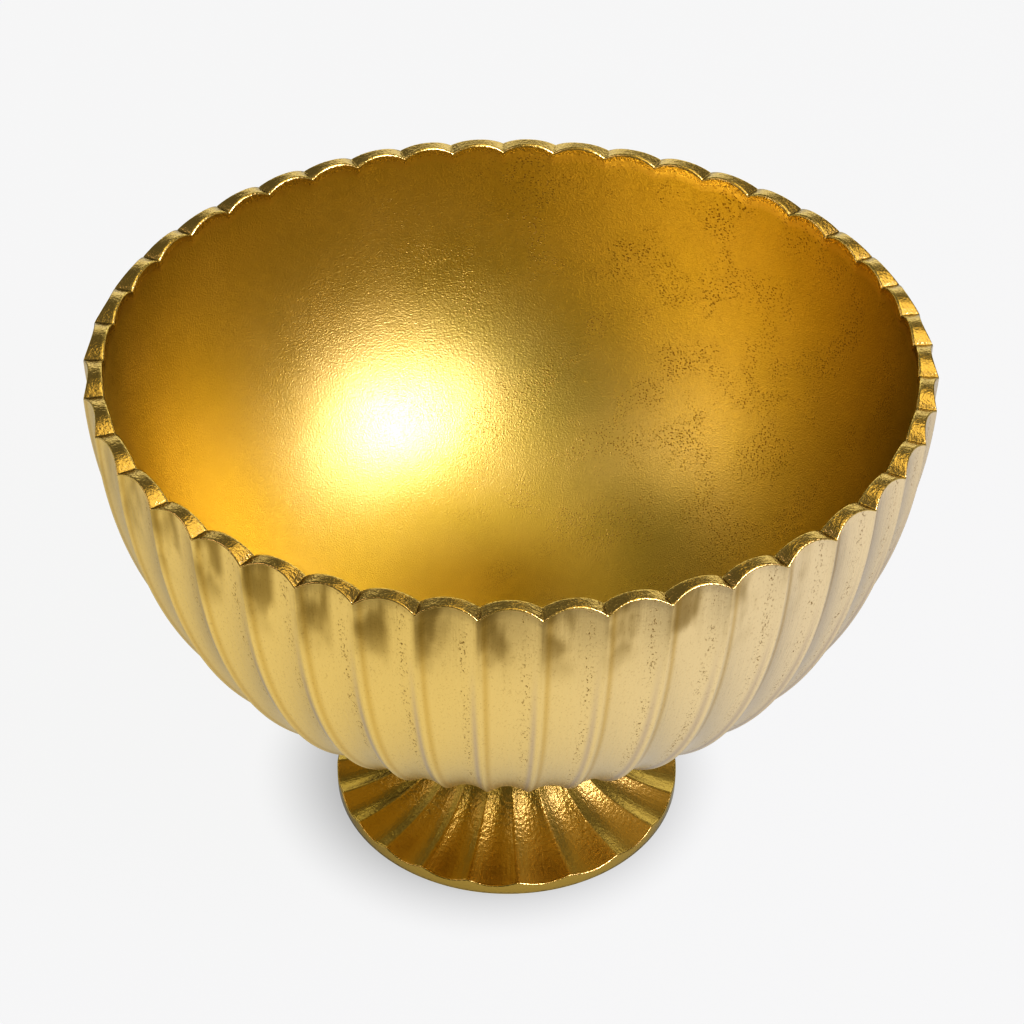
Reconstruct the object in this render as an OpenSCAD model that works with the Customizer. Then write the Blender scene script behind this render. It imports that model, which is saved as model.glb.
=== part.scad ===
// Footed bowl with a fluted outside and an arched rim.
// Two metal castings, the bowl and its hollow foot, are drawn together by one bolt in the neck.
// The origin is the middle of the base, on the surface that the bowl stands on, with +Z up.

/* [Bowl] */
// Diameter over the flute ridges at the rim
rim_d = 280; // [260:1:300]
// Height of the rim's low points above the table
rim_h = 193.5; // [190:0.5:200]
// Number of flutes round the bowl
bowl_flutes = 44; // [36:1:52]
// Depth of a bowl flute below the ridges beside it
bowl_scoop = 2; // [0.5:0.1:2.5]
// Rise of each rim arch above the low points beside it
arch_h = 3; // [1:0.1:4]
// Wall thickness from a flute ridge to the smooth inside
wall_t = 6.8; // [6:0.1:8]
// Extra thickness gained by the wall on its way down to the floor
floor_gain = 1.2; // [0:0.1:2]
// Height of the ridges' lowest point above the table
belly_z = 60.5; // [59:0.5:62]
// How far the side drops before it starts to turn in
side_drop = 74; // [60:1:80]
// How far the flat of the underside reaches out
under_reach = 99; // [90:1:105]

/* [Foot] */
// Diameter of the foot
foot_d = 128; // [120:1:136]
// Number of flutes round the foot
foot_flutes = 22; // [18:1:26]
// Depth of a foot flute below its ridges, as a share of its distance from the middle
foot_scoop_share = 0.05; // [0.02:0.005:0.06]
// Height of the upright edge at the middle of a flute
edge_low = 3.7; // [3:0.1:5]
// Height of the upright edge at a ridge
edge_high = 5.3; // [5.1:0.1:6]
// Diameter over the ridges at the narrowest point of the neck
neck_d = 48; // [46:1:52]
// Height of the narrowest point of the neck above the table
neck_z = 40; // [38:1:42]
// Diameter of the foot's top face
foot_top_d = 60; // [56:1:60]
// Wall thickness of the foot from a ridge to the hollow
foot_wall = 6.8; // [6:0.1:7.5]

/* [Joint] */
// Height of the faces where the bowl sits on the foot
seat_z = 56; // [55:0.5:57]
// Diameter of the boss under the bowl
boss_d = 62; // [61:1:66]
// Diameter of the spigot that centres the bowl in the foot
spigot_d = 30; // [24:1:32]
// Length of the spigot
spigot_h = 2.5; // [2:0.1:3]
// Gap round the spigot and below it
spigot_gap = 0.2; // [0.1:0.05:0.4]
// Height of the underside of the web in the neck
web_z = 46; // [45:0.5:47]
// Depth of the threaded hole, from the spigot's face
thread_depth = 12.5; // [11:0.5:12.5]

/* [Fasteners] */
// Diameter of the bolt
bolt_d = 8; // [8:1:8]
// Length of the bolt under its head
bolt_l = 20; // [18:1:20]
// Width across the flats of the bolt's head
head_af = 13; // [12:0.5:14]
// Height of the bolt's head
head_h = 5.3; // [4:0.1:6]
// Outer diameter of the flat washer
washer_d = 16; // [14:0.5:18]
// Thickness of the flat washer
washer_t = 1.6; // [1:0.1:2]
// Outer diameter of the split spring washer
spring_d = 14.8; // [13:0.1:16]
// Thickness of the split spring washer
spring_t = 2; // [1.5:0.1:2.5]
// Width of the split in the spring washer
spring_split = 1.2; // [0.5:0.1:2]

/* [Base felt] */
// Thickness of the felt ring under the foot
felt_t = 1.5; // [1:0.1:2]
// Outer diameter of the felt ring
felt_d = 124; // [120:1:126]
// Width of the felt ring
felt_w = 4; // [3:0.5:5]

/* [Hidden] */
brass = [0.74, 0.56, 0.2];
steel = [0.7, 0.7, 0.7];
felt_black = [0.12, 0.12, 0.12];
round_fn = 96;
cut = 1;
rim_r = rim_d / 2;
foot_r = foot_d / 2;
neck_r = neck_d / 2;
foot_top_r = foot_top_d / 2;
belly_end_r = 30;
// The underside of the foot rests on the felt ring.
base_z = felt_t;
inside_floor_z = belly_z + wall_t + floor_gain;
bolt_clear_r = bolt_d / 2 + 0.25;
thread_r = bolt_d / 2 + 0.05;
washer_hole_r = bolt_d / 2 + 0.2;
washer_z = web_z - washer_t;
spring_z = washer_z - spring_t;

// Columns drawn for each flute, and rows drawn down each profile
bowl_cols = 4;
foot_cols = 6;
bowl_rows = 12;
flare_rows = 9;
cove_rows = 4;
hollow_rows = 24;

// Widest share of its own width that a bowl flute may be deep, where the flutes close up
scoop_share = 0.18;
// Bearing of the first ridge, clockwise from +Y, for the bowl and for the foot
bowl_bearing = 5.3;
foot_bearing = 173.3;

// The flutes were laid out by eye, so their spacing drifts in slow waves: [degrees, waves, phase].
bowl_drift = [[2.5, 1, 67], [1.1, 2, -165], [0.9, 3, -56]];
foot_drift = [[2.8, 2, 74]];
function drift(waves, a) = [for (w = waves) w[0] * sin(w[1] * a + w[2])] * [for (w = waves) 1];

// Bearing of a point that is s flutes round from the first ridge
function bearing(first, count, waves, s) = first + 360 * s / count + drift(waves, 360 * s / count);

// Share of the full depth across one flute: 0 at its ridges and 1 at its middle
function across(s) = let (u = 2 * (s - floor(s)) - 1) 1 - u * u;

// Height share of a rim arch, a little fuller than the flute below it
arch_power = 2.2;
function arch(s) = let (u = abs(2 * (s - floor(s)) - 1)) 1 - pow(u, arch_power);

// Point and unit normal on a four-point curve; the normal is on the right of its direction
function curve(p, t) = pow(1 - t, 3) * p[0] + 3 * pow(1 - t, 2) * t * p[1]
    + 3 * (1 - t) * t * t * p[2] + t * t * t * p[3];
function along(p, t) = 3 * pow(1 - t, 2) * (p[1] - p[0]) + 6 * (1 - t) * t * (p[2] - p[1])
    + 3 * t * t * (p[3] - p[2]);
function right_of(v) = [v[1], -v[0]] / norm(v);

// Ridge lines, as [radius, height] from the top of the bowl down and from the foot's edge up
bowl_ridge = [[rim_r, rim_h], [rim_r - 0.5, rim_h - side_drop], [under_reach, belly_z], [belly_end_r, belly_z]];
lip_in = 0.8;
lip_up = 0.5;
flare_start = [foot_r - lip_in, base_z + edge_high + lip_up];
flare_ridge = [flare_start, [foot_r - 20, 10], [neck_r + 2, 18], [neck_r, neck_z]];
cove_ridge = [[neck_r, neck_z], [neck_r - 0.6, neck_z + 6], [neck_r + 1, seat_z - 4], [foot_top_r, seat_z]];

function place(r, z, a) = [r * sin(a), r * cos(a), z];

// Depth of a flute at radius r; a foot flute gets deeper outwards, then eases off towards the edge
function bowl_depth(r) = min(bowl_scoop, scoop_share * 2 * PI * r / bowl_flutes);
edge_ease = 0.5;
ease_power = 6;
function foot_depth(r) = foot_scoop_share * r * (1 - edge_ease * pow(r / foot_r, ease_power));

// Closed skin over rings of equal length, listed from the top down, with a middle point at each end
module skin(rings, top, bottom) {
    n = len(rings[0]);
    m = len(rings);
    points = concat([for (ring = rings) each ring], [top, bottom]);
    faces = [
        for (j = [0 : m - 2], i = [0 : n - 1])
            let (a = j * n + i, b = j * n + (i + 1) % n)
            each [[b, a, a + n], [b, a + n, b + n]],
        for (i = [0 : n - 1]) [m * n, i, (i + 1) % n],
        for (i = [0 : n - 1]) [m * n + 1, (m - 1) * n + (i + 1) % n, (m - 1) * n + i]
    ];
    polyhedron(points, faces);
}

// One ring of the bowl's outside, a share t of the way down the ridge line
function bowl_ring(t) = let (p = curve(bowl_ridge, t), n = right_of(along(bowl_ridge, t)))
    [for (i = [0 : bowl_flutes * bowl_cols - 1])
        let (
            s = i / bowl_cols,
            q = p + n * bowl_depth(p[0]) * across(s),
            lift = t == 0 ? arch_h * arch(s) : 0
        )
        place(q[0], q[1] + lift, bearing(bowl_bearing, bowl_flutes, bowl_drift, s))];

// The rim is flat from the outside in, so its inner ring repeats the arches at a smaller radius.
rim_inner_r = rim_r - 2 * wall_t;
rim_ring = [for (i = [0 : bowl_flutes * bowl_cols - 1])
    let (s = i / bowl_cols)
    place(rim_inner_r, rim_h + arch_h * arch(s), bearing(bowl_bearing, bowl_flutes, bowl_drift, s))];

// The smooth inside keeps its distance from the ridge line.
function inside_point(t) = curve(bowl_ridge, t)
    + right_of(along(bowl_ridge, t)) * (wall_t + floor_gain * t);

module bowl_inside() {
    side = [for (k = [0 : hollow_rows]) inside_point(k / hollow_rows)];
    rim_in = side[0][0];
    above = rim_h + arch_h + cut;
    rotate_extrude($fn = round_fn)
        polygon(concat([[0, above], [rim_in, above]], side, [[0, inside_floor_z]]));
}

module bowl() {
    rings = concat([rim_ring], [for (j = [0 : bowl_rows - 1]) bowl_ring(j / (bowl_rows - 1))]);
    color(brass)
        difference() {
            union() {
                skin(rings, [0, 0, rim_h], [0, 0, belly_z + bowl_scoop / 2]);
                translate([0, 0, seat_z])
                    cylinder(d = boss_d, h = belly_z - seat_z + wall_t / 2, $fn = round_fn);
                translate([0, 0, seat_z - spigot_h])
                    cylinder(d = spigot_d, h = spigot_h + cut, $fn = round_fn);
            }
            bowl_inside();
            translate([0, 0, seat_z - spigot_h - cut])
                cylinder(r = thread_r, h = thread_depth + cut, $fn = round_fn);
        }
}

// One ring of the foot, at a point p of its ridge line, dropped along n in the middle of each flute
function foot_ring(p, n) = [for (i = [0 : foot_flutes * foot_cols - 1])
    let (s = i / foot_cols, q = p + n * across(s))
    place(q[0], q[1], bearing(foot_bearing, foot_flutes, foot_drift, s))];

function foot_curve_ring(line, t) = let (p = curve(line, t), n = -right_of(along(line, t)))
    foot_ring(p, n * foot_depth(p[0]));

edge_drop = [0, edge_low - edge_high];
no_drop = [0, 0];
foot_rings = concat(
    [foot_ring([foot_top_r, seat_z], [-foot_depth(foot_top_r), 0])],
    [for (j = [cove_rows - 1 : -1 : 1]) foot_curve_ring(cove_ridge, j / cove_rows)],
    [for (j = [flare_rows : -1 : 1]) foot_curve_ring(flare_ridge, j / flare_rows)],
    [foot_ring(flare_start, edge_drop)],
    [foot_ring([foot_r, base_z + edge_high], edge_drop)],
    [foot_ring([foot_r, base_z], no_drop)]
);

// The hollow keeps its distance from the ridge line, from where it clears the base up to the neck.
function hollow_point(t) = curve(flare_ridge, t) - right_of(along(flare_ridge, t)) * foot_wall;

module foot_hollow() {
    side = [for (k = [0 : hollow_rows]) let (q = hollow_point(k / hollow_rows)) if (q[1] > base_z + cut) q];
    neck_hollow_r = hollow_point(1)[0];
    mouth_r = side[0][0] + cut;
    rotate_extrude($fn = round_fn)
        polygon(concat([[0, 0], [mouth_r, 0], [mouth_r, base_z]], side, [[neck_hollow_r, web_z], [0, web_z]]));
}

module foot() {
    color(brass)
        difference() {
            skin(foot_rings, [0, 0, seat_z], [0, 0, base_z]);
            foot_hollow();
            translate([0, 0, web_z - cut])
                cylinder(r = bolt_clear_r, h = seat_z - web_z + 2 * cut, $fn = round_fn);
            translate([0, 0, seat_z - spigot_h - spigot_gap])
                cylinder(r = spigot_d / 2 + spigot_gap, h = spigot_h + spigot_gap + cut, $fn = round_fn);
        }
}

module assembly_bolt() {
    // The corners of the head are rounded off by a shallow cone on its outer face.
    chamfer = 0.8;
    corner_r = head_af / sqrt(3);
    color(steel)
        union() {
            translate([0, 0, spring_z])
                cylinder(d = bolt_d, h = bolt_l, $fn = round_fn);
            translate([0, 0, spring_z - head_h])
                intersection() {
                    cylinder(r = corner_r, h = head_h, $fn = 6);
                    cylinder(r1 = corner_r - chamfer, r2 = corner_r + head_h, h = head_h, $fn = round_fn);
                }
        }
}

module ring(outer_r, inner_r, h) {
    difference() {
        cylinder(r = outer_r, h = h, $fn = round_fn);
        translate([0, 0, -cut])
            cylinder(r = inner_r, h = h + 2 * cut, $fn = round_fn);
    }
}

module spring_washer() {
    color(steel)
        translate([0, 0, spring_z])
            difference() {
                ring(spring_d / 2, washer_hole_r, spring_t);
                translate([0, -spring_split / 2, -cut])
                    cube([spring_d, spring_split, spring_t + 2 * cut]);
            }
}

module flat_washer() {
    color(steel)
        translate([0, 0, washer_z])
            ring(washer_d / 2, washer_hole_r, washer_t);
}

module base_felt() {
    color(felt_black)
        ring(felt_d / 2, felt_d / 2 - felt_w, felt_t);
}

bowl();
foot();
assembly_bolt();
spring_washer();
flat_washer();
base_felt();
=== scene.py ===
"""A footed brass bowl with a fluted outside and an arched rim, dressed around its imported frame."""

import math

import bmesh
import bpy
from mathutils import Matrix, Vector, noise


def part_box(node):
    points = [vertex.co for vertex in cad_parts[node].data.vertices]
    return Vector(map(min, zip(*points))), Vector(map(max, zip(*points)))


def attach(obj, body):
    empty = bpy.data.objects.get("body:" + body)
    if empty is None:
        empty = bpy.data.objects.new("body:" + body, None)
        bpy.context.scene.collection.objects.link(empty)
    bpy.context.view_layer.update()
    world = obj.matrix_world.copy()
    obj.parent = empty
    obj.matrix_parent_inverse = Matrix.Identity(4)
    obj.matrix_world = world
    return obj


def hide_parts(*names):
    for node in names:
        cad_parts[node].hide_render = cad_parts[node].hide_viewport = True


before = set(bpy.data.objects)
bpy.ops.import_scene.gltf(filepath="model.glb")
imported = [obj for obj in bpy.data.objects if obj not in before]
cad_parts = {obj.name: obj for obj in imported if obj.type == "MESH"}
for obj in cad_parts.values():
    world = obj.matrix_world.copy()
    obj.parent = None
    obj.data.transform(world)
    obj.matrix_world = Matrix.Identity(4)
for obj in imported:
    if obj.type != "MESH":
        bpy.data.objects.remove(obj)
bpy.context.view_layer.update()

MM = 0.001
TURN = 2 * math.pi
WELD = 2e-6

# ---------------------------------------------------------------- sizes, in millimetres
# Heights come from the frame's own boxes, and the rest repeats the drawing of the two castings.
BOWL_LOW, BOWL_HIGH = (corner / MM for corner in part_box("bowl"))
FOOT_LOW, FOOT_HIGH = (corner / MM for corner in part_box("foot"))

ARCH_RISE = 3.0
# A hair inside the drawing's 140, so that a softened ridge never stands past its box.
RIM_R = 139.99
RIM_Z = BOWL_HIGH.z - ARCH_RISE
WALL = 6.8
FLOOR_GAIN = 1.2
BELLY_Z = RIM_Z - 133.0
SIDE_DROP = 74.0
UNDER_REACH = 99.0
BELLY_END_R = 30.0
BOWL_SCOOP = 2.0
SCOOP_SHARE = 0.18
BOSS_R = 31.0
SPIGOT_R = 15.0
THREAD_R = 4.05
THREAD_DEPTH = 12.5
THREAD_MOUTH = 0.6
EDGE_BREAK = 0.5
BOSS_FILLET = 1.0
BOSS_FILLET_STEP = 0.3

SEAT_Z = FOOT_HIGH.z
BASE_Z = FOOT_LOW.z
FOOT_R = 64.0
EDGE_LOW = 3.7
EDGE_HIGH = 5.3
LIP_IN = 0.8
LIP_UP = 0.5
NECK_R = 24.0
NECK_Z = 40.0
FOOT_TOP_R = 30.0
FOOT_WALL = 6.8
FOOT_SCOOP_SHARE = 0.038
EDGE_EASE = 0.5
EASE_POWER = 6
WEB_Z = 46.0
BOLT_CLEAR_R = 4.25
RECESS_GAP = 0.2

# Flutes: how many, the bearing of the first ridge clockwise from +Y, and the slow waves in
# their spacing, each as (degrees, waves round, phase).
BOWL_FLUTES = (44, 5.3, ((2.5, 1, 67), (1.1, 2, -165), (0.9, 3, -56)))
FOOT_FLUTES = (22, 173.3, ((2.8, 2, 74),))

BOWL_RIDGE = [
    Vector((RIM_R, RIM_Z)),
    Vector((RIM_R - 0.5, RIM_Z - SIDE_DROP)),
    Vector((UNDER_REACH, BELLY_Z)),
    Vector((BELLY_END_R, BELLY_Z)),
]
FLARE_RIDGE = [
    Vector((FOOT_R - LIP_IN, BASE_Z + EDGE_HIGH + LIP_UP)),
    Vector((FOOT_R - 20, 10)),
    Vector((NECK_R + 2, 18)),
    Vector((NECK_R, NECK_Z)),
]
COVE_RIDGE = [
    Vector((NECK_R, NECK_Z)),
    Vector((NECK_R - 0.6, NECK_Z + 6)),
    Vector((NECK_R + 1, SEAT_Z - 4)),
    Vector((FOOT_TOP_R, SEAT_Z)),
]


# ---------------------------------------------------------------- outlines
def on_curve(line, t):
    a, b, c, d = line
    s = 1 - t
    return a * s**3 + b * 3 * s * s * t + c * 3 * s * t * t + d * t**3


def right_of_curve(line, t):
    a, b, c, d = line
    s = 1 - t
    way = (b - a) * 3 * s * s + (c - b) * 6 * s * t + (d - c) * 3 * t * t
    way.normalize()
    return Vector((way.y, -way.x))


def ramp(low, high, x):
    """0 below low, 1 above high, and a smooth step between."""
    u = min(max((x - low) / (high - low), 0.0), 1.0)
    return u * u * (3 - 2 * u)


class Outline:
    """Points of a turned piece, each with what the fluting does to it."""

    def __init__(self):
        self.points = []

    def add(self, r, z, push=(0.0, 0.0), lift=0.0, rim=0.0, inside=0.0):
        self.points.append(((r, z), push, lift, rim, inside))

    def arc(self, centre, radius, first, last, steps, **also):
        for k in range(steps + 1):
            a = math.radians(first + (last - first) * k / steps)
            self.add(centre[0] + radius * math.cos(a), centre[1] + radius * math.sin(a), **also)


# What each point carries: which way the flutes push it, its share of the arches' lift, whether it
# is on the rim or the inside, and how far it lies along the outline.
LAYERS = ("push_r", "push_z", "lift", "rim", "inside", "run")


def turn(outline, flutes, columns):
    """Turns an outline into a closed body: one flute's width is spun, then copied round."""
    bm = bmesh.new()
    layers = {name: bm.verts.layers.float.new(name) for name in LAYERS}
    before, run = None, 0.0
    for (r, z), push, lift, rim, inside in outline.points:
        vert = bm.verts.new((0, r * MM, z * MM))
        if before is not None:
            run += (vert.co - before.co).length
            bm.edges.new((before, vert))
        values = (push[0] * MM, push[1] * MM, lift, rim, inside, run)
        for name, value in zip(LAYERS, values):
            vert[layers[name]] = value
        before = vert
    bmesh.ops.spin(
        bm, geom=bm.verts[:] + bm.edges[:], cent=(0, 0, 0), axis=(0, 0, -1), dvec=(0, 0, 0),
        angle=TURN / flutes, steps=columns, use_merge=False, use_normal_flip=False,
        use_duplicate=False,
    )
    wedge = bm.verts[:] + bm.edges[:] + bm.faces[:]
    for k in range(1, flutes):
        copy = bmesh.ops.duplicate(bm, geom=wedge)["geom"]
        verts = [item for item in copy if isinstance(item, bmesh.types.BMVert)]
        way_round = Matrix.Rotation(TURN * k / flutes, 3, "Z")
        bmesh.ops.rotate(bm, verts=verts, cent=(0, 0, 0), matrix=way_round)
    bmesh.ops.remove_doubles(bm, verts=bm.verts[:], dist=WELD)
    bmesh.ops.recalc_face_normals(bm, faces=bm.faces[:])
    return bm, layers


def bearing(flutes, s):
    """Bearing in degrees of a place counted in flutes, with the slow waves in their spacing."""
    count, first, waves = flutes
    a = 360 * s / count
    return first + a + sum(w * math.sin(math.radians(n * a + phase)) for w, n, phase in waves)


def flute(bm, layers, flutes, columns, scoop, arch, crowd, wander):
    """Moves each point of a turned body to its place on the flutes."""
    count = flutes[0]
    ridge = bm.verts.layers.float.new("ridge")
    slant = bm.verts.layers.float.new("slant")
    for vert in bm.verts:
        r = math.hypot(vert.co.x, vert.co.y)
        turned = math.degrees(math.atan2(vert.co.x, vert.co.y)) % 360
        s = round(turned / 360 * count * columns) / columns
        whole = math.floor(s)
        u = s - whole
        u -= crowd * math.sin(TURN * u) / TURN
        deep = scoop(u, whole)
        r += vert[layers["push_r"]] * deep
        z = vert.co.z + vert[layers["push_z"]] * deep + vert[layers["lift"]] * arch(u, whole) * MM
        a = math.radians(bearing(flutes, whole + u) + wander(whole + u, z))
        vert.co = (r * math.sin(a), r * math.cos(a), z)
        vert[ridge] = min(u, 1 - u)
        vert[slant] = math.sin(TURN * u)


def soft_scoop(u, soft):
    """Share of a flute's depth: 0 on a ridge softened over a share of the flute, 1 in the middle."""
    away = min(u, 1 - u)
    eased = math.sqrt(away * away + soft * soft) - soft
    full = math.sqrt(0.25 + soft * soft) - soft
    w = eased / full / 2
    return 4 * w * (1 - w)


def finish_piece(bm, name, material, node):
    """Hands a finished body to the frame in place of the CAD node it replaces."""
    mesh = bpy.data.meshes.new(name)
    bm.to_mesh(mesh)
    bm.free()
    mesh.shade_smooth()
    mesh.materials.append(material)
    piece = bpy.data.objects.new(name, mesh)
    bpy.context.scene.collection.objects.link(piece)
    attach(piece, "root")
    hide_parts(node)


# ---------------------------------------------------------------- bowl
BOWL_COLUMNS = 14
BOWL_SIDE_ROWS = 60
INSIDE_ROWS = 40
RIM_OUTER_EDGE = 0.5
RIM_INNER_EDGE = 0.9
RIM_ROWS = 6
ARCH_FADE = 12.0
# Where the flutes run out underneath: how far along the ridge's curve, and over what distance.
FLUTES_END_T = 0.955
FLUTE_FADE = 6.0
FLOOR_RINGS = (20, 10, 0)
BOWL_RIDGE_SOFT = 0.015
BOWL_CROWD = 0.75
ARCH_POWER = 2.2


def bowl_depth(r):
    return min(BOWL_SCOOP, SCOOP_SHARE * TURN * r / BOWL_FLUTES[0])


def bowl_outline():
    line = Outline()
    top_of_hole = BOWL_LOW.z + THREAD_DEPTH
    line.add(0, top_of_hole)
    line.add(THREAD_R, top_of_hole)
    line.add(THREAD_R, BOWL_LOW.z + THREAD_MOUTH)
    line.add(THREAD_R + THREAD_MOUTH, BOWL_LOW.z)
    line.add(SPIGOT_R - EDGE_BREAK, BOWL_LOW.z)
    line.add(SPIGOT_R, BOWL_LOW.z + EDGE_BREAK)
    line.add(SPIGOT_R, SEAT_Z)
    line.add(BOSS_R - EDGE_BREAK, SEAT_Z)
    line.add(BOSS_R, SEAT_Z + EDGE_BREAK)
    line.add(BOSS_R, BELLY_Z - BOSS_FILLET)
    line.add(BOSS_R + BOSS_FILLET_STEP, BELLY_Z - BOSS_FILLET_STEP)
    line.add(BOSS_R + BOSS_FILLET, BELLY_Z)
    for k in range(BOWL_SIDE_ROWS + 1):
        t = FLUTES_END_T * (1 - k / BOWL_SIDE_ROWS)
        p, n = on_curve(BOWL_RIDGE, t), right_of_curve(BOWL_RIDGE, t)
        if k == BOWL_SIDE_ROWS:
            p = p - Vector((0, RIM_OUTER_EDGE))
        share = ramp(BOSS_R, BOSS_R + FLUTE_FADE, p.x)
        line.add(
            p.x, p.y, push=tuple(n * bowl_depth(p.x) * share),
            lift=ramp(RIM_Z - ARCH_FADE, RIM_Z - RIM_OUTER_EDGE, p.y),
        )
    inner_r = RIM_R - WALL
    outer_centre = (RIM_R - RIM_OUTER_EDGE, RIM_Z - RIM_OUTER_EDGE)
    line.arc(outer_centre, RIM_OUTER_EDGE, 20, 90, 3, push=(-BOWL_SCOOP, 0), lift=1, rim=1)
    for k in range(1, RIM_ROWS):
        share = k / RIM_ROWS
        r = (RIM_R - RIM_OUTER_EDGE) * (1 - share) + (inner_r + RIM_INNER_EDGE) * share
        line.add(r, RIM_Z, push=(-BOWL_SCOOP * (1 - share), 0), lift=1, rim=1)
    inner_centre = (inner_r + RIM_INNER_EDGE, RIM_Z - RIM_INNER_EDGE)
    line.arc(inner_centre, RIM_INNER_EDGE, 90, 180, 4, lift=1, rim=1, inside=0.5)
    for k in range(1, INSIDE_ROWS + 1):
        t = k / INSIDE_ROWS
        p = on_curve(BOWL_RIDGE, t) + right_of_curve(BOWL_RIDGE, t) * (WALL + FLOOR_GAIN * t)
        line.add(p.x, p.y, lift=ramp(RIM_Z - ARCH_FADE, RIM_Z, p.y), inside=1)
    floor_z = line.points[-1][0][1]
    for r in FLOOR_RINGS:
        line.add(r, floor_z, inside=1)
    return line


def make_bowl(material):
    bm, layers = turn(bowl_outline(), BOWL_FLUTES[0], BOWL_COLUMNS)

    def scoop(u, whole):
        uneven = 1 + 0.08 * math.sin(2.1 * whole + 0.7)
        return soft_scoop(u, BOWL_RIDGE_SOFT) * uneven

    def arch(u, whole):
        return ARCH_RISE * (1 - abs(2 * u - 1) ** ARCH_POWER)

    def wander(s, z):
        return 0.12 * noise.noise(Vector((s * 0.9, z * 25, 3.1)))

    flute(bm, layers, BOWL_FLUTES, BOWL_COLUMNS, scoop, arch, BOWL_CROWD, wander)
    finish_piece(bm, "fluted_bowl", material, "bowl")


# ---------------------------------------------------------------- foot
FOOT_COLUMNS = 24
FLARE_ROWS = 34
COVE_ROWS = 10
LIP_R = 0.6
LIP_GAP = 0.05
HOLLOW_ROWS = 24
EDGE_BLEND_T = 0.12
FOOT_RIDGE_SOFT = 0.05
FOOT_CROWD = 0.5


def foot_depth(r):
    return FOOT_SCOOP_SHARE * r * (1 - EDGE_EASE * (r / FOOT_R) ** EASE_POWER)


def foot_outline():
    line = Outline()
    recess_z = BOWL_LOW.z - RECESS_GAP
    line.add(BOLT_CLEAR_R, recess_z)
    line.add(SPIGOT_R + RECESS_GAP, recess_z)
    line.add(SPIGOT_R + RECESS_GAP, SEAT_Z)
    line.add(FOOT_TOP_R, SEAT_Z, push=(-foot_depth(FOOT_TOP_R), 0))
    for k in range(1, COVE_ROWS):
        t = 1 - k / COVE_ROWS
        p, n = on_curve(COVE_RIDGE, t), right_of_curve(COVE_RIDGE, t)
        line.add(p.x, p.y, push=tuple(-n * foot_depth(p.x)))
    drop = Vector((0, EDGE_LOW - EDGE_HIGH))
    for k in range(FLARE_ROWS + 1):
        t = 1 - k / FLARE_ROWS
        p, n = on_curve(FLARE_RIDGE, t), right_of_curve(FLARE_RIDGE, t)
        share = ramp(0.0, EDGE_BLEND_T, t)
        line.add(p.x, p.y, push=tuple(-n * foot_depth(p.x) * share + drop * (1 - share)))
    lip_top = BASE_Z + EDGE_HIGH + LIP_UP
    lip_centre = (FOOT_R - LIP_R, lip_top - LIP_R - LIP_GAP)
    line.arc(lip_centre, LIP_R, 85, 0, 5, push=tuple(drop), rim=1)
    line.add(FOOT_R, BASE_Z + EDGE_LOW * 0.5, rim=1)
    line.add(FOOT_R, BASE_Z + EDGE_BREAK, rim=1)
    line.add(FOOT_R - EDGE_BREAK, BASE_Z)
    hollow = []
    for k in range(HOLLOW_ROWS + 1):
        t = k / HOLLOW_ROWS
        p = on_curve(FLARE_RIDGE, t) - right_of_curve(FLARE_RIDGE, t) * FOOT_WALL
        if p.y > BASE_Z + 1:
            hollow.append(p)
    line.add(hollow[0].x + 1, BASE_Z, inside=1)
    for p in hollow:
        line.add(p.x, p.y, inside=1)
    line.add(hollow[-1].x, WEB_Z, inside=1)
    line.add(BOLT_CLEAR_R, WEB_Z, inside=1)
    line.add(BOLT_CLEAR_R, recess_z, inside=1)
    return line


def make_foot(material):
    bm, layers = turn(foot_outline(), FOOT_FLUTES[0], FOOT_COLUMNS)

    def scoop(u, whole):
        uneven = 1 + 0.07 * math.sin(1.7 * whole + 0.4)
        return soft_scoop(u, FOOT_RIDGE_SOFT) * uneven

    def arch(u, whole):
        return 0.0

    def wander(s, z):
        return 0.25 * noise.noise(Vector((s * 0.8, z * 30, 8.2)))

    flute(bm, layers, FOOT_FLUTES, FOOT_COLUMNS, scoop, arch, FOOT_CROWD, wander)
    finish_piece(bm, "fluted_foot", material, "foot")


# ---------------------------------------------------------------- finishes
class Value:
    """A number that varies over a surface. Arithmetic on it adds Math nodes to its material."""

    def __init__(self, finish, socket):
        self.finish, self.socket = finish, socket

    def math(self, operation, first, second):
        return self.finish.add("Math", {"operation": operation}, {0: first, 1: second})

    def __add__(self, other):
        return self.math("ADD", self, other)

    def __radd__(self, other):
        return self.math("ADD", other, self)

    def __sub__(self, other):
        return self.math("SUBTRACT", self, other)

    def __rsub__(self, other):
        return self.math("SUBTRACT", other, self)

    def __mul__(self, other):
        return self.math("MULTIPLY", self, other)

    def __rmul__(self, other):
        return self.math("MULTIPLY", other, self)

    def __truediv__(self, other):
        return self.math("DIVIDE", self, other)

    def __rtruediv__(self, other):
        return self.math("DIVIDE", other, self)

    def __pow__(self, other):
        return self.math("POWER", self, other)

    def step(self, low, high):
        """0 below low and 1 above high; low may be the larger one."""
        sockets = {"Value": self, "From Min": low, "From Max": high}
        return self.finish.add("MapRange", {"interpolation_type": "SMOOTHSTEP"}, sockets)


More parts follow.
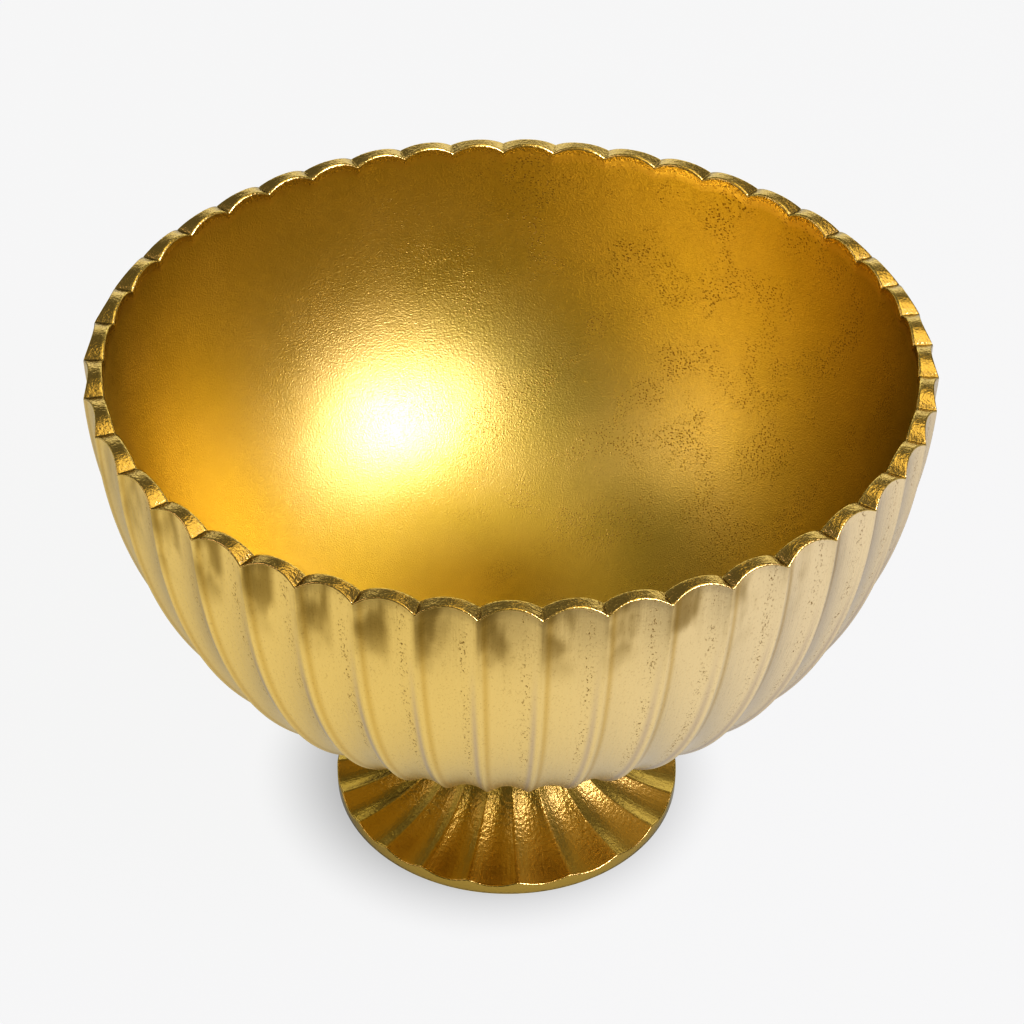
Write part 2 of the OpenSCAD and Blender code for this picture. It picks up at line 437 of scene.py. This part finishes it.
class Finish:
    """A material and its nodes, which all come from one method."""

    def __init__(self, name):
        self.material = bpy.data.materials.new(name)
        self.material.use_nodes = True
        self.tree = self.material.node_tree
        self.tree.nodes.clear()

    def add(self, kind, settings=None, sockets=None, out=0):
        node = self.tree.nodes.new("ShaderNode" + kind)
        for key, value in (settings or {}).items():
            setattr(node, key, value)
        for key, value in (sockets or {}).items():
            if isinstance(value, Value):
                self.tree.links.new(value.socket, node.inputs[key])
            else:
                node.inputs[key].default_value = value
        return Value(self, node.outputs[out]) if len(node.outputs) else None

    def attribute(self, name):
        return self.add("Attribute", {"attribute_name": name}, out="Fac")

    def noise(self, vector, scale=1.0, detail=2.0, rough=0.5):
        sockets = {"Vector": vector, "Scale": scale, "Detail": detail, "Roughness": rough}
        return self.add("TexNoise", {}, sockets)

    def colour(self, share, first, second):
        sockets = {0: share, 6: first, 7: second}
        return self.add("Mix", {"data_type": "RGBA"}, sockets, out=2)

    def blend(self, share, first, second):
        return self.add("Mix", {"data_type": "FLOAT"}, {0: share, 2: first, 3: second})

    def vector(self, x, y, z):
        return self.add("CombineXYZ", {}, {0: x, 1: y, 2: z})

    def surface(self, sockets):
        shader = self.add("BsdfPrincipled", {}, sockets)
        self.add("OutputMaterial", {}, {"Surface": shader})


def around_and_along(finish):
    """Where a point lies: its position, its bearing as two parts of a circle, and how far along."""
    point = finish.add("TexCoord", out="Object")
    x, y, z = (finish.add("SeparateXYZ", {}, {0: point}, out=k) for k in range(3))
    r = (x * x + y * y) ** 0.5
    return point, x / r, y / r, z / MM, finish.attribute("run") / MM


BRASS = (0.92, 0.70, 0.28, 1)
# Painted shade: the inside is a darker copy of the brass.
BRASS_INSIDE_PAINTED_SHADE = (0.64, 0.52, 0.145, 1)
# Painted shade: the rim is a darker copy of the brass.
BRASS_RIM_PAINTED_SHADE = (0.55, 0.41, 0.14, 1)
# Painted shade: the foot under the bowl is a darker copy of the brass.
BRASS_FOOT_PAINTED_SHADE = (0.46, 0.34, 0.085, 1)
BRASS_SHEEN = (0.95, 0.75, 0.35, 1)
# Painted reflection: a paler brass that the outside turns to on its east side.
BRASS_PAINTED_PALE_REFLECTION = (0.92, 0.77, 0.52, 1)
# Painted reflection: grey-lilac beside one flank of each ridge.
BRASS_PAINTED_LILAC_REFLECTION = (0.60, 0.49, 0.39, 1)
# Painted shade: a darker warm brass beside the other flank of each ridge.
BRASS_PAINTED_WARM_SHADE = (0.66, 0.43, 0.09, 1)
# Painted dark reflection: dark olive patches below the rim on the front flutes.
BRASS_PAINTED_DARK_REFLECTION = (0.28, 0.185, 0.04, 1)
BRASS_PIT = (0.30, 0.17, 0.035, 1)
BRASS_GRAZING = (0.62, 0.66, 0.75, 1)

# Heights of the finish's marks, in millimetres.
SKIN_OUTSIDE, SKIN_INSIDE = 0.05, 0.16
BRUSH_OUTSIDE, BRUSH_INSIDE = 0.12, 0.02
MARK_DEPTH = 0.07
RIM_GRAIN = 0.2

# Per casting: the radius at which its marks have their true size, its roughness, the height of
# the wrinkles towards its neck, and whether its flutes get pits and painted reflections and shade.
BOWL_FINISH = (130.0, 0.36, 0.0, True)
FOOT_FINISH = (45.0, 0.35, 0.32, False)


def painted_flute_light(f, gold, around, outside):
    """Painted reflections and shade on the flutes: a paler east side, grey-lilac reflection and warm
    shade beside the ridges, and dark reflection patches below the rim at the front.
    """
    east, north, below, patch = around
    ridge, slant = f.attribute("ridge"), f.attribute("slant")
    # Painted reflection: the outside turns paler towards the east side.
    gold = f.colour(outside * east.step(-0.3, 0.8), gold, BRASS_PAINTED_PALE_REFLECTION)
    # Painted reflection: grey-lilac on one flank beside each ridge, 12 to 60 mm below the rim.
    painted_lilac_reflection = outside * slant.step(0.15, 0.7) * ridge.step(0.2, 0.06) * below.step(12.0, 60.0)
    gold = f.colour(0.75 * painted_lilac_reflection, gold, BRASS_PAINTED_LILAC_REFLECTION)
    # Painted shade: darker warm brass on the other flank beside each ridge.
    painted_warm_shade = outside * slant.step(-0.15, -0.7) * ridge.step(0.2, 0.04)
    gold = f.colour(0.65 * painted_warm_shade, gold, BRASS_PAINTED_WARM_SHADE)
    # Painted dark reflection: dark olive patches just below the rim, on one side of each front
    # flute.
    front = (-0.2 * east - 0.98 * north).step(0.45, 0.85)
    dark_reflection_spots = slant.step(0.7, -0.5) * patch.step(0.36, 0.62)
    painted_dark_reflection = outside * below.step(30.0, 6.0) * front * dark_reflection_spots
    return f.colour(0.68 * painted_dark_reflection, gold, BRASS_PAINTED_DARK_REFLECTION)


def inside_dashes(f, field, point, east, north):
    """Short casting dashes round the inside, in clusters, most of them at the back right."""
    cluster = f.noise(point, 45.0, 3.0, 0.6).step(0.45, 0.62)
    cell = f.add("TexVoronoi", {}, {"Vector": field(1.3, 0.7), "Scale": 1.0})
    pitted = 0.15 + 0.85 * (0.6 * east + 0.8 * north).step(0.35, 0.95)
    return cell.step(0.38, 0.18) * (0.12 + 0.88 * cluster) * pitted


def outside_pits(f, field):
    """Fine pits over the outside, thickest in a broken line down one side of each flute."""
    spread = f.noise(field(7.0, 9.0, 3.0), 1.0, 1.0).step(0.34, 0.52)
    seam = f.attribute("slant").step(0.75, 0.98) * spread
    grain = f.noise(field(0.6, 1.0, 4.0), 1.0, 2.0, 0.7)
    return grain.step(0.56, 0.7) * (0.2 + 0.8 * seam)


def brass(name, outer, inner, finish):
    """Satin cast brass: brushed down the flutes outside, with short dashes round the inside."""
    reach, smooth, wrinkle, pits_and_painted_light = finish
    f = Finish(name)
    point, east, north, height_mm, along = around_and_along(f)
    inside, rim = f.attribute("inside"), f.attribute("rim")
    outside = (1 - inside) * (1 - rim)

    def field(size_round, size_along, shift=0.0):
        """A place measured in marks of this size in millimetres, round and along the piece."""
        k = reach / size_round
        return f.vector(east * k + shift, north * k, along / size_along)

    mottle = f.noise(point, 28.0, 3.0)
    streak = f.noise(field(0.8, 16.0), 1.0, 3.0, 0.6)
    skin = f.noise(field(0.85, 0.6, 2.0), 1.0, 2.0, 0.6)
    fold = f.noise(field(1.2, 1.3, 5.0), 1.0, 2.0, 0.5)
    marks = inside * inside_dashes(f, field, point, east, north)
    # The inner colour is a darker copy of the brass: painted shade inside.
    gold = f.colour(inside, outer, inner)
    gold = f.colour(0.12 * mottle.step(0.3, 0.7), gold, BRASS_SHEEN)
    # Pits on the outside, and painted reflections and shade on the bowl's flutes.
    if pits_and_painted_light:
        marks = marks + outside * (1 - inside) * outside_pits(f, field)
        # These patches place the painted dark reflection below the rim.
        patch = f.noise(field(9.0, 20.0, 7.0), 1.0, 2.0)
        gold = painted_flute_light(f, gold, (east, north, RIM_Z - height_mm, patch), outside)
    # Painted shade: the rim takes a darker copy of the brass.
    gold = f.colour(0.85 * rim * (1 - inside), gold, BRASS_RIM_PAINTED_SHADE)
    gold = f.colour(0.8 * marks, gold, BRASS_PIT)
    height = (
        f.blend(inside, SKIN_OUTSIDE, SKIN_INSIDE) * skin
        + f.blend(inside, BRUSH_OUTSIDE * outside, BRUSH_INSIDE) * streak
        - MARK_DEPTH * marks
        + RIM_GRAIN * rim * f.noise(point, 1000.0, 2.0, 0.6)
        + wrinkle * height_mm.step(2.0, 14.0) * fold
    )
    rough = smooth - 0.05 * (1 - inside) - 0.1 * rim
    rough = rough + 0.08 * (mottle - 0.5) + 0.08 * (streak - 0.5) + 0.15 * marks
    bump = f.add("Bump", {}, {"Height": height, "Distance": MM, "Strength": 1.0})
    f.surface(
        {"Base Color": gold, "Metallic": 1.0, "Roughness": rough, "Normal": bump,
         "Specular Tint": BRASS_GRAZING}
    )
    return f.material


ZINC_DARK = (0.55, 0.56, 0.58, 1)
ZINC_LIGHT = (0.68, 0.68, 0.66, 1)
FELT_DARK = (0.008, 0.008, 0.008, 1)
FELT_LIGHT = (0.05, 0.05, 0.048, 1)


def steel():
    f = Finish("zinc_plated_steel")
    point = f.add("TexCoord", out="Object")
    patch = f.noise(point, 300.0, 3.0)
    tint = f.colour(patch.step(0.3, 0.7), ZINC_DARK, ZINC_LIGHT)
    bump = f.add("Bump", {}, {"Height": f.noise(point, 2500.0), "Distance": 0.02 * MM})
    rough = 0.3 + 0.15 * patch
    f.surface({"Base Color": tint, "Metallic": 1.0, "Roughness": rough, "Normal": bump})
    return f.material


def felt():
    f = Finish("black_felt")
    point = f.add("TexCoord", out="Object")
    fibre = f.noise(point, 2200.0, 4.0, 0.7)
    tint = f.colour(fibre.step(0.35, 0.7), FELT_DARK, FELT_LIGHT)
    bump = f.add("Bump", {}, {"Height": fibre, "Distance": 0.3 * MM})
    f.surface({"Base Color": tint, "Roughness": 0.95, "Normal": bump})
    return f.material


def dress(node, material):
    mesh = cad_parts[node].data
    mesh.materials.clear()
    mesh.materials.append(material)


# ---------------------------------------------------------------- studio
COOL = (0.97, 0.88, 1.45)
ROSE = (1.0, 0.84, 1.1)
WARM = (1.0, 0.84, 0.52)
NEUTRAL = (1.0, 1.0, 1.0)
LAMP_AWAY = 1.4
LAMPS_MEET = Vector((0, 0, 0.12))
SURROUND = 0.185
# Name, bearing clockwise from +Y, elevation, width and height in metres, watts and tint.
SOFTBOXES = (
    ("key", 127, 46, (0.5, 0.45), 5.8, COOL),
    ("key_spread", 122, 44, (1.15, 0.8), 5.4, COOL),
    ("right_front", 155, 40, (0.6, 0.5), 1.2, NEUTRAL),
    ("top_front", 178, 68, (0.8, 0.5), 0.6, WARM),
    ("left_fill", -98, 40, (0.6, 0.8), 1.6, ROSE),
    ("back_sweep", 5, 14, (1.6, 0.6), 2.6, NEUTRAL),
    ("left_low", -65, 10, (1.3, 0.5), 0.9, NEUTRAL),
    ("right_low", 75, 10, (1.3, 0.5), 0.6, NEUTRAL),
    ("overhead", 55, 72, (0.9, 0.9), 2.4, WARM),
)

FLOOR_HALF = 6.0
FLOOR_DROP = 0.2 * MM
FLOOR_GREY = (0.015, 0.015, 0.015, 1)
FLOOR_WHITE = (1, 1, 1, 1)
FLOOR_SHADE = (0.5, 0.5, 0.5, 1)
FLOOR_GLOW = 0.543
# The soft shade round the foot: its centre, where it is full and where it ends, in metres.
SHADE_X, SHADE_Y = -0.006, 0.006
SHADE_FULL, SHADE_END = 0.04, 0.092
# The floor is in shade in front of the first of these and fully lit behind the second.
FRONT_SHADED, FRONT_LIT = -0.36, -0.27

EYE = Vector((0, -0.64231, 0.61816))
AIM = Vector((0.00092, 0, 0.12529))
LENS = 81.85
SENSOR = 36
ROLL = 0.66


def softbox(name, bearing_deg, elevation, size, power, tint):
    light = bpy.data.lights.new(name, "AREA")
    light.shape = "RECTANGLE"
    light.size, light.size_y = size
    light.energy = power
    light.color = tint
    lamp = bpy.data.objects.new(name, light)
    bpy.context.scene.collection.objects.link(lamp)
    a, e = math.radians(bearing_deg), math.radians(elevation)
    way = Vector((math.sin(a) * math.cos(e), math.cos(a) * math.cos(e), math.sin(e)))
    lamp.location = LAMPS_MEET + way * LAMP_AWAY
    lamp.rotation_euler = (-way).to_track_quat("-Z", "Y").to_euler()


def white_table():
    """A pale floor that is lit mostly by itself, with a soft shade round the foot."""
    f = Finish("white_table")
    point = f.add("TexCoord", out="Object")
    x, y = (f.add("SeparateXYZ", {}, {0: point}, out=k) for k in range(2))
    away = ((x - SHADE_X) ** 2.0 + (y - SHADE_Y) ** 2.0) ** 0.5
    front = f.colour(y.step(FRONT_SHADED, FRONT_LIT), FLOOR_SHADE, FLOOR_WHITE)
    glow = f.colour(away.step(SHADE_FULL, SHADE_END), FLOOR_SHADE, front)
    f.surface(
        {"Base Color": FLOOR_GREY, "Roughness": 0.9, "Specular IOR Level": 0.0,
         "Emission Color": glow, "Emission Strength": FLOOR_GLOW}
    )
    return f.material


def make_floor():
    mesh = bpy.data.meshes.new("studio_floor")
    bm = bmesh.new()
    down = Matrix.Translation((0, 0, -FLOOR_DROP))
    bmesh.ops.create_grid(bm, x_segments=1, y_segments=1, size=FLOOR_HALF, matrix=down)
    bm.to_mesh(mesh)
    bm.free()
    mesh.materials.append(white_table())
    floor = bpy.data.objects.new("studio_floor", mesh)
    bpy.context.scene.collection.objects.link(floor)


def make_surround():
    world = bpy.data.worlds.new("studio")
    world.use_nodes = True
    back = world.node_tree.nodes["Background"]
    back.inputs["Color"].default_value = (1.0, 1.0, 1.0, 1)
    back.inputs["Strength"].default_value = SURROUND
    bpy.context.scene.world = world


def make_camera():
    data = bpy.data.cameras.new("camera")
    data.lens = LENS
    data.sensor_width = SENSOR
    camera = bpy.data.objects.new("camera", data)
    bpy.context.scene.collection.objects.link(camera)
    aim = (AIM - EYE).to_track_quat("-Z", "Y").to_matrix().to_4x4()
    roll = Matrix.Rotation(math.radians(ROLL), 4, "Z")
    camera.matrix_world = Matrix.Translation(EYE) @ aim @ roll
    bpy.context.scene.camera = camera


make_camera()
make_floor()
make_surround()
for lamp in SOFTBOXES:
    softbox(*lamp)
bpy.context.scene.view_settings.view_transform = "Standard"
bpy.context.scene.view_settings.look = "Very High Contrast"
make_bowl(brass("bowl_brass", BRASS, BRASS_INSIDE_PAINTED_SHADE, BOWL_FINISH))
# The foot's outside colour is a darker copy of the brass: painted shade under the bowl.
make_foot(brass("foot_brass", BRASS_FOOT_PAINTED_SHADE, BRASS_INSIDE_PAINTED_SHADE, FOOT_FINISH))
steel_finish = steel()
for part in ("assembly_bolt", "spring_washer", "flat_washer"):
    dress(part, steel_finish)
dress("base_felt", felt())
